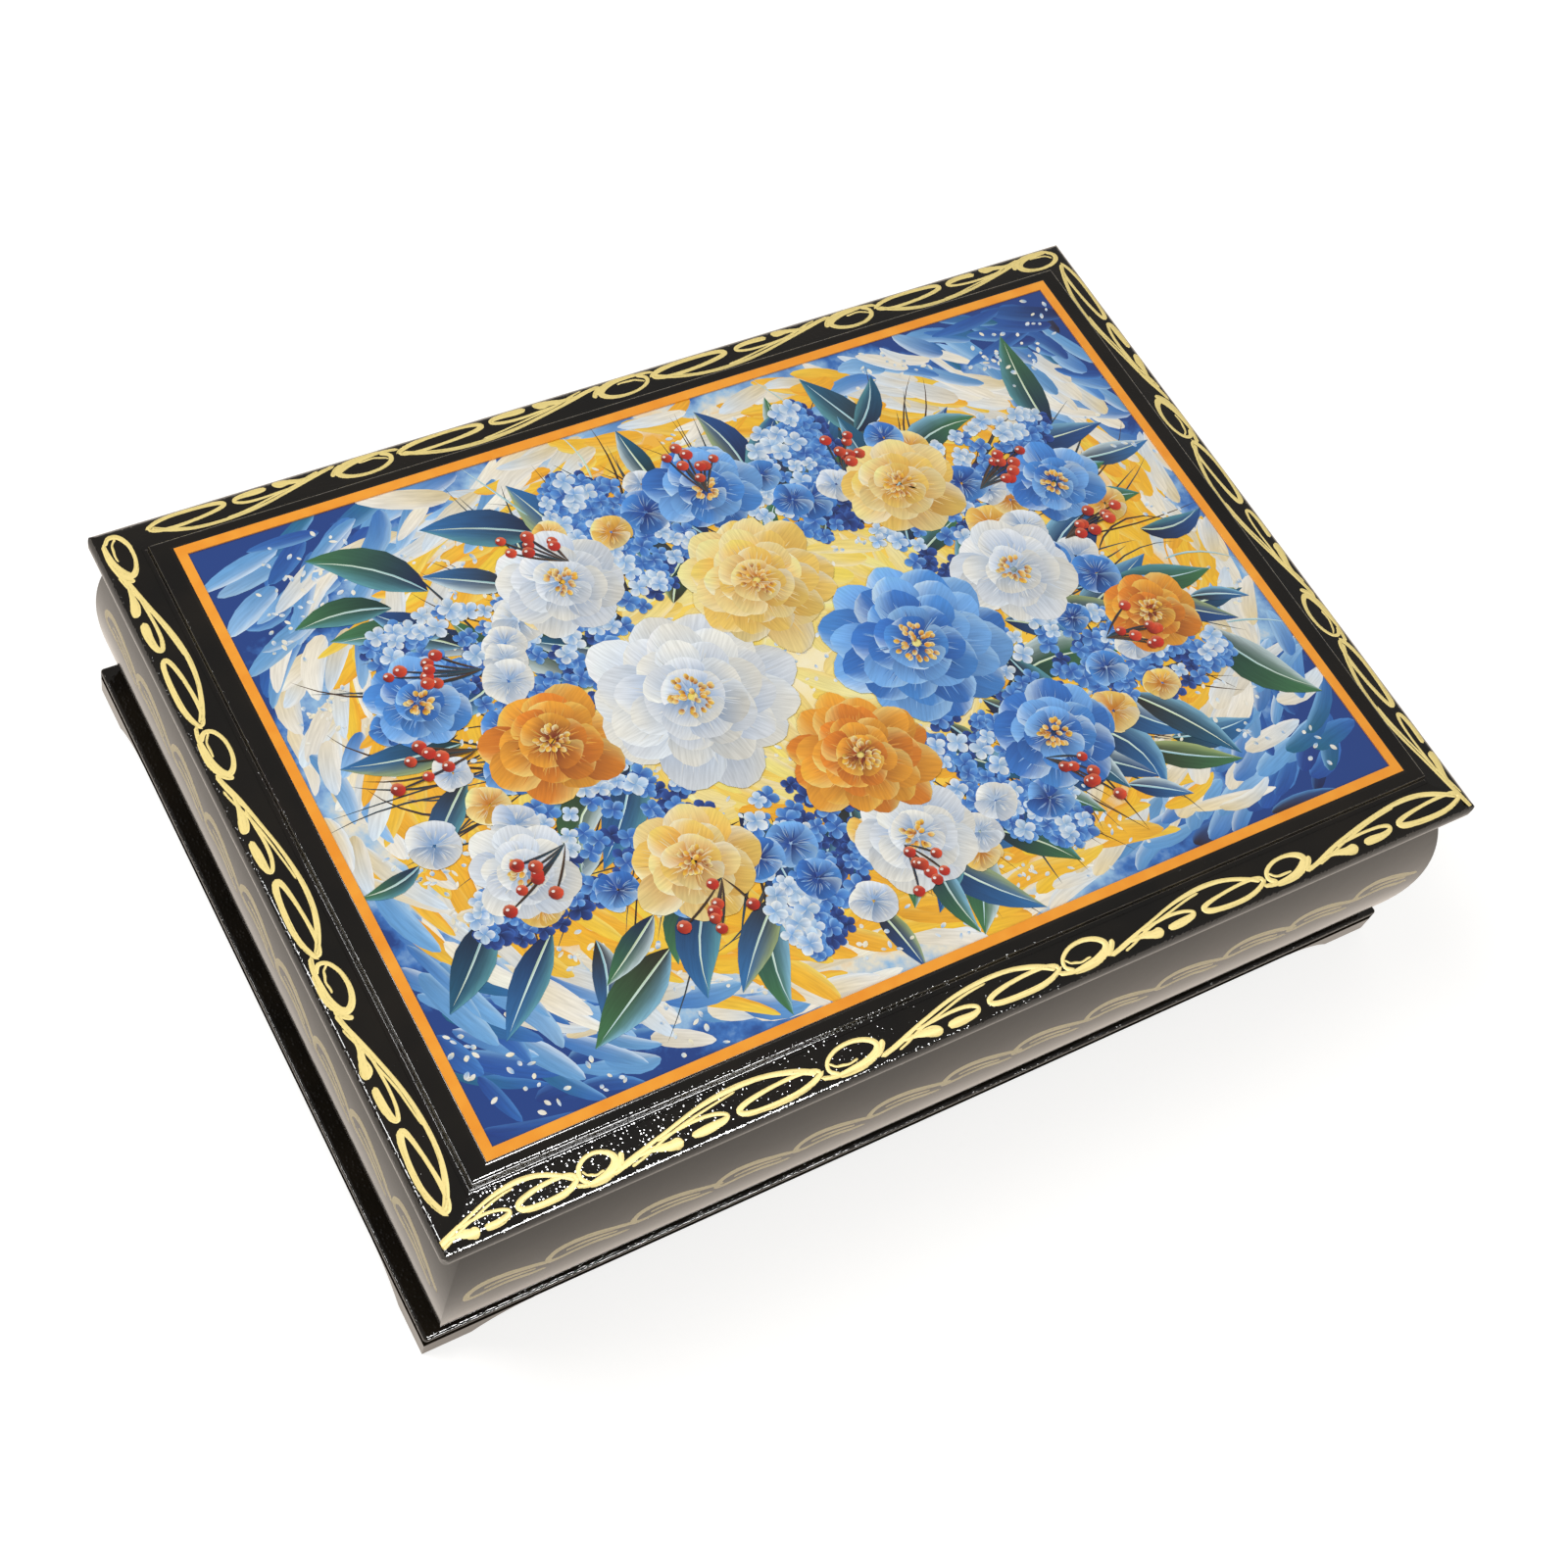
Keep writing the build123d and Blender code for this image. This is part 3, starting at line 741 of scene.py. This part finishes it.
def brush_marks(place, turn, length, width, level, grid, bend=0.0, swell=1.0, blunt=0.8):
    """Marks at places (mm). The centre line is an arc that turns by bend over its length. The half width
    is the sine of pi times u to the swell, raised to blunt, so both ends close. Rows crowd at the ends.
    The stroke map is in millimetres and moved by the mark's turn, so that marks differ in their streaks."""
    u = (0.5 - 0.5 * np.cos(np.linspace(end_trim, np.pi - end_trim, grid[0])))[None, :, None]
    v = np.linspace(-1, 1, grid[1])[None, None]
    given = (turn, length, width, level, bend)
    sizes = [np.broadcast_to(np.asarray(size, float), len(place)) for size in given]
    turn, length, width, level, bend = (size[:, None, None] for size in sizes)
    heading = turn + bend * (u - 0.5)
    chord = length * u * np.sinc(bend * u / (2 * np.pi))
    chord_way = turn + bend * (u / 2 - 0.5)
    half = width / 2 * np.sin(np.pi * u**swell) ** blunt
    x = place[:, 0, None, None] + chord * np.cos(chord_way) - half * v * np.sin(heading)
    y = place[:, 1, None, None] + chord * np.sin(chord_way) + half * v * np.cos(heading)
    map_across, map_along = half * v + turn * shift_across, length * u + turn * shift_along
    stroke_map = np.stack([map_across + 0 * x, map_along + 0 * x], axis=3)
    return np.stack([x, y, level + 0 * x], axis=3), stroke_map, u + 0 * x, v + 0 * x


def loaded_colour(u, v, base, tip, edge):
    """Colour of a loaded brush: base to tip along the mark, and towards the edge colour on one side."""
    base, tip, edge = (colour[:, None, None] for colour in (base, tip, edge))
    along = np.clip(u * 1.15 - 0.05, 0, 1)[..., None] ** 1.3
    over = np.clip(v - 0.1, 0, 1)[..., None] ** 1.5
    return (base * (1 - along) + tip * along) * (1 - over) + edge * over


def tints(names, count):
    """Random picks from a string of hex colours, each a little lighter or darker, in linear light."""
    palette = np.array([linear(name)[:3] for name in names.split()])
    return palette[chance.integers(0, len(palette), count)] * chance.normal(1, 0.07, (count, 1))


one_mark = brush_marks(np.zeros((1, 2)), 0.0, 5.0, 2.0, 0.0, (9, 6))[0]
print("a mark 5 mm long and 2 mm wide spans", np.ptp(one_mark, axis=(0, 1, 2)).round(2), "mm")

# %% Layers of paint
frame_margin = 0.6
frame_limit = np.array([half_x, half_y]) / mm - frame_margin


class PaintLayer:
    """Collects brush marks of one grid size until they become a piece."""

    def __init__(self, grid):
        self.grid, self.parts = grid, []

    def add(self, place, turn, length, width, level, colours, light=1.0, **shape):
        """Adds marks in three strings of colours (base, tip, edge) and keeps those inside the frame."""
        points, stroke_map, u, v = brush_marks(place, turn, length, width, level, self.grid, **shape)
        base, tip, edge = (tints(names, len(place)) for names in colours)
        light = np.broadcast_to(np.asarray(light, float), len(place))[:, None, None, None]
        paint = np.clip(loaded_colour(u, v, base, tip, edge) * light, 0, 0.95)
        inside = (np.abs(points[..., :2]) < frame_limit).all(axis=(1, 2, 3))
        self.parts.append((points[inside], stroke_map[inside], paint[inside]))

    def finish(self, name, material):
        """Lays the marks on the ground and makes them a piece."""
        points, stroke_map, paint = (np.concatenate(arrays) for arrays in zip(*self.parts))
        placed = points * mm + np.array([0, 0, ground_level])
        add_strokes(name, placed, stroke_map, material, "lid", "picture", paint)
        print(name, "marks:", len(points), "top at", round(float(placed[..., 2].max()) / mm, 3), "mm")


print("marks keep within", frame_limit.round(1), "mm of the middle")

# %% [markdown]
# The paint lies under the same clear varnish as the ground. Each point of a mark brings its colour,
# and streaks along the mark, as the hairs of a brush leave them, make it lighter and darker.

# %% Picture paint
# Streaks per millimetre across and along a mark: about 0.4 mm wide and 4.5 mm long
hairs_across, hairs_along = 2.6, 0.22
picture_paint, tree, surface = new_material("picture_paint_under_varnish")
colour = node(tree, "VertexColor", {"layer_name": "Paint"})
stroke = node(tree, "UVMap", {"uv_map": "Stroke"})
hairs = node(tree, "Mapping", Vector=stroke[0], Scale=(hairs_across, hairs_along, 1.0))
streak = node(tree, "TexNoise", Vector=hairs[0], Scale=1.0, Detail=3.0)
shade_range = {"From_Min": 0.25, "From_Max": 0.75, "To_Min": 0.82, "To_Max": 1.12}
shade = node(tree, "MapRange", Value=streak["Fac"], **shade_range)
final = node(tree, "VectorMath", {"operation": "SCALE"}, _0=colour[0], Scale=shade[0])
varnish = node(tree, "BsdfPrincipled", Base_Color=final[0], **under_varnish)
tree.links.new(varnish[0], surface)
print("paint:", picture_paint.name)

# %% [markdown]
# ## The bouquet
# A painter works from back to front: broad strokes of the ground, thin grasses and light flecks,
# leaves, then sprays of small florets, then blossoms from small to large, ring by ring, and last their
# hearts and the berries. Each layer lies a small part of a millimetre above the one before, and marks
# that may cross in a layer have levels of their own, because two films at the same height would
# flicker black.

# %% Levels of the layers, in millimetres above the ground
level_step = 0.0002
level_of = {
    "ground strokes": 0.002, "grasses": 0.024, "flecks": 0.035, "leaves": 0.036, "florets": 0.106,
    "small blossoms": 0.148, "medium blossoms": 0.162, "large blossoms": 0.176,
    "hearts": 0.236, "stalks": 0.247, "berries": 0.25,
}
print("layers of paint:", len(level_of), "within", round(paint_depth / mm, 2), "mm")

# %% Broad strokes of the ground
spacing, columns, rows = 3.9, 46, 31
zone_x, zone_y = 97, 66
ground_strokes = PaintLayer((8, 4))
numbers = np.meshgrid(np.arange(columns), np.arange(rows), indexing="ij")
column, row = (number.ravel() for number in numbers)
even_spots = np.stack([column - (columns - 1) / 2, row - (rows - 1) / 2], axis=1) * spacing
spots = even_spots + chance.normal(0, 1.0, (column.size, 2))
stroke_level = level_of["ground strokes"] + level_step * (column % 10 + 10 * (row % 10))
away = np.hypot(spots[:, 0] / zone_x, spots[:, 1] / zone_y) + chance.normal(0, 0.06, len(spots))
swirl = np.arctan2(spots[:, 1] * 2, spots[:, 0]) + np.pi / 2 + chance.normal(0, 0.3, len(spots))
ground_zones = [
    (0.0, 0.45, ("#FFE48C #FFD65A", "#FFEBAA #FFDD70", "#FFEEC0 #FFE08A")),
    (0.45, 0.83, ("#FFC22C #FAB228", "#FFCE44 #FBB932", "#FFD86A #F7A824")),
    (0.83, 0.93, ("#E6D3A6 #EFE4CC", "#F3EEE2 #D6E4F0", "#F5F1E8 #E2ECF5")),
    (0.93, 1.04, ("#5F97CC #3F78BE", "#8DBAE4 #6FA8DA", "#D6E6F4 #A8CEEC")),
    (1.04, 1.16, ("#1E4690 #23509E #1E6486", "#356FBA #2B62AE", "#78AEDC #4C88CC")),
    (1.16, 2.0, ("#121F52 #1A3A84 #2B2030", "#22407E #2B62AE", "#5C9AD8 #3E6FB4")),
]
for near, far, colours in ground_zones:
    here = (away >= near) & (away < far)
    count = int(here.sum())
    ground_strokes.add(
        spots[here], swirl[here], chance.uniform(9, 18, count), chance.uniform(2.2, 4.4, count),
        stroke_level[here], colours, bend=chance.normal(0, 0.5, count), swell=0.8, blunt=0.5,
    )
print("ground zones:", len(ground_zones))


# %% Leaves
def oval(angle, wide, high):
    """Points round the middle: cosine and sine of the angle, times half the oval's width and height."""
    return np.stack([wide * np.cos(angle), high * np.sin(angle)], axis=1)


leaves, thin_lines = PaintLayer((10, 5)), PaintLayer((9, 3))
leaf_colours = (
    "#0E1C46 #10302F #141C38 #2A2416", "#1E5C7C #2E6EA8 #41784C #20508E",
    "#8CC4E0 #D6E8EA #5E9EA8 #A9B97A",
)
count = 170
angle = chance.uniform(0, 2 * np.pi, count)
root = oval(angle, 50, 30) * chance.uniform(0.7, 1.7, (count, 1))
out = np.arctan2(root[:, 1] * 1.4, root[:, 0]) + chance.normal(0, 0.45, count)
long, bend = chance.uniform(11, 24, count), chance.normal(0, 0.6, count)
leaf_level = level_of["leaves"] + 2 * level_step * np.arange(count)
leaves.add(
    root, out, long, long * chance.uniform(0.26, 0.4, count), leaf_level, leaf_colours,
    bend=bend, swell=0.85, blunt=1.05,
)
rib_colours = ("#8FC3CC #C9DDB0", "#BFE0E6 #DCE9C8", "#E6F2F2")
rib_level, rib_share = leaf_level + level_step, 0.92
thin_lines.add(root, out, long * rib_share, 0.4, rib_level, rib_colours, bend=bend * rib_share, swell=0.6)
print("leaves:", count)

# %% Grasses
grass_colours = ("#2A1A10 #1A2236", "#4C3622 #1D4C5C", "#6A4A2A")
count = 300
angle = chance.uniform(0, 2 * np.pi, count)
root = oval(angle, 58, 36) * chance.uniform(0.7, 1.1, (count, 1))
out = np.arctan2(root[:, 1] * 1.3, root[:, 0]) + chance.normal(0, 0.4, count)
grass_level = level_of["grasses"] + level_step * (np.arange(count) % 50)
thin_lines.add(
    root, out, chance.uniform(12, 30, count), chance.uniform(0.3, 0.6, count), grass_level, grass_colours,
    bend=chance.normal(0, 0.8, count), swell=0.6,
)
print("grasses:", count)

# %% [markdown]
# ### Sprays of small florets
# Lilac and hydrangea are painted as a mass of dabs: dark ones first on the shadow side, pale ones last
# on the side of the light. Each spray fills a drop shape, and each floret is four short marks.

# %% Sprays of florets
florets = PaintLayer((6, 4))
light_way = np.array([-0.5, 0.86])
spray_colours = [
    ("#0F1F52 #182C66", "#2A4C9A #24418A", "#3D68B8"),
    ("#2750A0 #2E63B4", "#5A97DC #4A86D0", "#9CC8F0 #7FB4E8"),
    ("#6FA2D8 #8FB4D8", "#E4ECF2 #CFE2F4", "#F4F2E6 #EAF2F8"),
]
sprays = [
    ((-27, 12), 157, 44, 25), ((-30, -10), 200, 46, 24), ((28, 12), 25, 46, 25), ((30, -12), -18, 46, 24),
    ((-12, 22), 112, 30, 22), ((14, 22), 66, 30, 21), ((-12, -20), 246, 32, 22), ((13, -20), -62, 32, 21),
]
florets_each, light_bounds = 150, (-9, -0.35, 0.4, 9)
for (x, y), degrees, long, wide in sprays:
    heading = np.radians(degrees)
    ahead_way = np.array([np.cos(heading), np.sin(heading)])
    side_way = np.array([-ahead_way[1], ahead_way[0]])
    t = chance.uniform(0, 1, florets_each) ** 0.8
    drop = wide / 2 * 1.5 * (1 - t) ** 0.55 * (t + 0.06) ** 0.3
    lean = chance.uniform(-1, 1, florets_each)
    spots = np.array([x, y]) + (t * long)[:, None] * ahead_way + (lean * drop)[:, None] * side_way
    lit = lean * (side_way @ light_way) + 0.4 * chance.normal(0, 1, florets_each)
    order = np.argsort(lit)
    spots, lit = spots[order], lit[order]
    for low, high, colours in zip(light_bounds, light_bounds[1:], spray_colours):
        chosen = np.flatnonzero((lit >= low) & (lit < high))
        here = np.repeat(spots[chosen], 4, axis=0)
        turn = (chance.uniform(0, 6.28, (len(chosen), 1)) + np.arange(4) * np.pi / 2).ravel()
        size = np.repeat(chance.uniform(1.5, 2.3, len(chosen)), 4)
        number = 2 * np.repeat(chosen, 4) + np.tile([0, 1], 2 * len(chosen))
        floret_level = level_of["florets"] + level_step * number / 1.6
        florets.add(here, turn, size, size * 0.9, floret_level, colours, swell=1.3, blunt=0.6)
print("sprays:", len(sprays), "with", florets_each, "florets each")

# %% [markdown]
# ### Blossoms
# A full blossom is rings of petals, the outer ones first, each ring turned by half a petal and drawn
# shorter. Petals that face the light are paler, and a few thin veins run out from each base.

# %% Blossoms, ring by ring
petals = PaintLayer((9, 6))
ring_steps, veins_each = 14, 5
flower_steps, large_steps = ring_steps + 1, 5 * ring_steps + 2


def blossom(centre, radius, level, rings, colours, tilt=0.92):
    """Rings of petals from the outer to the inner one, with veins, squeezed a little by the tilt. Each
    ring has ring_steps levels of its own: petals in threes first, then the veins."""
    for ring, count in enumerate(rings):
        share = 1 - ring / (len(rings) + 0.6)
        turn = (np.arange(count) + 0.5 * (ring % 2)) / count * 2 * np.pi + chance.normal(0, 0.1, count)
        way = oval(turn, 1, tilt)
        turn = np.arctan2(way[:, 1], way[:, 0])
        length = radius * share * np.linalg.norm(way, axis=1) * chance.normal(1, 0.06, count)
        width = radius * share * 2 * np.pi / count * chance.uniform(1.0, 1.25, count)
        base = np.array(centre) + way * radius * 0.05
        light = 0.97 + 0.14 * way @ light_way
        ring_level = level + ring * ring_steps * level_step
        order = np.arange(count) % 3 + 3 * (np.arange(count) >= count - count % 3)
        petals.add(
            base, turn, length, width, ring_level + level_step * order, colours, light=light,
            bend=chance.normal(0, 0.25, count), swell=1.6, blunt=0.55,
        )
        vein_turn = np.repeat(turn, veins_each) + chance.normal(0, 0.55 * np.pi / count, veins_each * count)
        root = np.repeat(base, veins_each, axis=0) + 0.22 * radius * share * oval(vein_turn, 1, 1)
        vein_level = ring_level + level_step * (5 + np.arange(len(root)) % 9)
        thin_lines.add(
            root, vein_turn, np.repeat(length, veins_each) * chance.uniform(0.35, 0.66, len(root)),
            chance.uniform(0.2, 0.45, len(root)), vein_level, colours, light=0.94, swell=0.8,
        )


blue = ("#132C74 #1C4492", "#4C90DC #78B2F0 #3876C6", "#CBE3F8 #A4CEF4")
white = ("#7C9FCA #A0B6D0", "#EDEADF #E4E8EC", "#F3F0E4 #EAF0F4")
cream = ("#C47416 #D89226", "#F8DE94 #F4CC66", "#F7ECCA #F6E4AE")
amber = ("#7A280F #98390D", "#E58624 #F5A632", "#F9D278 #F7C65A")
print("steps between blossoms:", flower_steps, "and between large ones:", large_steps)

# %% Small, medium and large blossoms
small = 64
angle = (np.arange(small) + chance.uniform(-0.4, 0.4, small)) * 2 * np.pi / small
spots = oval(angle, 64, 40) * chance.uniform(0.8, 1.18, (small, 1))
for k in range(small):
    level = level_of["small blossoms"] + flower_steps * level_step * (k % 4)
    radius = chance.uniform(3.0, 4.6)
    blossom(spots[k], radius, level, (5,), (blue, white, cream, blue)[chance.integers(4)])
medium = [
    ((-47, 2), 11.5, amber), ((46, 3), 11.5, white), ((-36, -27), 11, cream), ((36, 27), 11, cream),
    ((-31, 30), 11, white), ((34, -29), 11, blue), ((1, -37), 10.5, white), ((2, 39), 10, blue),
    ((-64, 17), 9, blue), ((65, -14), 9, amber), ((-62, -18), 9, white), ((64, 17), 9, blue),
]
for k, (place, radius, colours) in enumerate(medium):
    level = level_of["medium blossoms"] + flower_steps * level_step * (k % 2)
    blossom(place, radius, level, (9, 8, 6), colours)
large = [((-21, 1), 18, white), ((21, -4), 17, blue), ((1, 18), 14, cream), ((0, -20), 13, amber)]
for k, (place, radius, colours) in enumerate(large):
    level = level_of["large blossoms"] + large_steps * level_step * k
    blossom(place, radius, level, (12, 11, 9, 7, 5), colours)
print("blossoms:", small + len(medium) + len(large))

# %% [markdown]
# ### Hearts, berries and flecks
# Dabs with the tip of the brush finish the picture: a heart of golden dots in each blossom, bunches of
# red berries with a spot of light on each, and tufts of pale flecks low down on the ground.

# %% Hearts of the blossoms
dots = PaintLayer((6, 4))
heart_colours = ("#A8520C #D98A1A", "#F8C944 #F6DC88", "#F8EEC4")
for place, radius, _ in medium + large:
    count = int(radius * 2.2)
    angle, far = chance.uniform(0, 2 * np.pi, count), radius * 0.2 * np.sqrt(chance.uniform(0, 1, count))
    spots = np.array(place) + oval(angle, 1, 1) * far[:, None]
    heart_level = level_of["hearts"] + level_step * np.arange(count)
    dots.add(spots, angle, 1.2, 1.0, heart_level, heart_colours, blunt=0.5)
print("hearts:", len(medium + large))

# %% Berries
berries_each = 8
bunch_angle = np.radians([8, 33, 62, 88, 118, 150, 172, 205, 236, 268, 300, 335])
bunch = oval(bunch_angle, 69, 44)
berry = (bunch[:, None] + chance.normal(0, 2.5, (len(bunch), berries_each, 2))).reshape(-1, 2)
number = np.arange(len(berry))
stalk = np.repeat(bunch * 0.86, berries_each, axis=0) - berry
stalk_level = level_of["stalks"] + level_step * (number % berries_each)
thin_lines.add(
    berry, np.arctan2(stalk[:, 1], stalk[:, 0]), np.hypot(*stalk.T), 0.45, stalk_level, grass_colours,
    bend=0.3, swell=0.7,
)
across = chance.uniform(1.9, 2.6, len(berry))
berry_colours = ("#7A1007 #A01A0C", "#CE2E18 #DE4A24", "#E8805A")
left_end = berry - np.stack([across / 2, 0 * across], axis=1)
berry_level = level_of["berries"] + level_step * number
dots.add(left_end, 0.0, across, across, berry_level, berry_colours, blunt=0.5)
shine_colours = ("#F4EEE6", "#F2E4DC", "#F6F2EE")
shine_level = level_of["berries"] + level_step * (number + 0.5)
dots.add(berry + np.array([-0.6, 0.4]), 0.0, 0.6, 0.5, shine_level, shine_colours, blunt=0.5)
print("berries:", len(berry))

# %% Flecks
tuft_count, flecks_each = 150, 8
tufts = chance.uniform(-1, 1, (tuft_count, 2)) * np.array([84, 55])
fleck = (tufts[:, None] + chance.normal(0, 2.6, (tuft_count, flecks_each, 2))).reshape(-1, 2)
fleck_colours = ("#BFD8F0 #EFE8D2 #86B6E4", "#F4F1E6 #F5EBC8", "#F6F4EC")
fleck_level = level_of["flecks"] + level_step / 20 * np.arange(len(fleck))
dots.add(
    fleck, chance.uniform(0, 6.28, len(fleck)), chance.uniform(0.7, 1.5, len(fleck)),
    chance.uniform(0.5, 0.9, len(fleck)), fleck_level, fleck_colours, blunt=0.6,
)
print("flecks:", len(fleck))

# %% The layers as pieces
layers = {
    "ground_strokes": ground_strokes, "leaves": leaves, "lines": thin_lines, "florets": florets,
    "petals": petals, "dots": dots,
}
for name, layer in layers.items():
    layer.finish("bouquet_" + name, picture_paint)
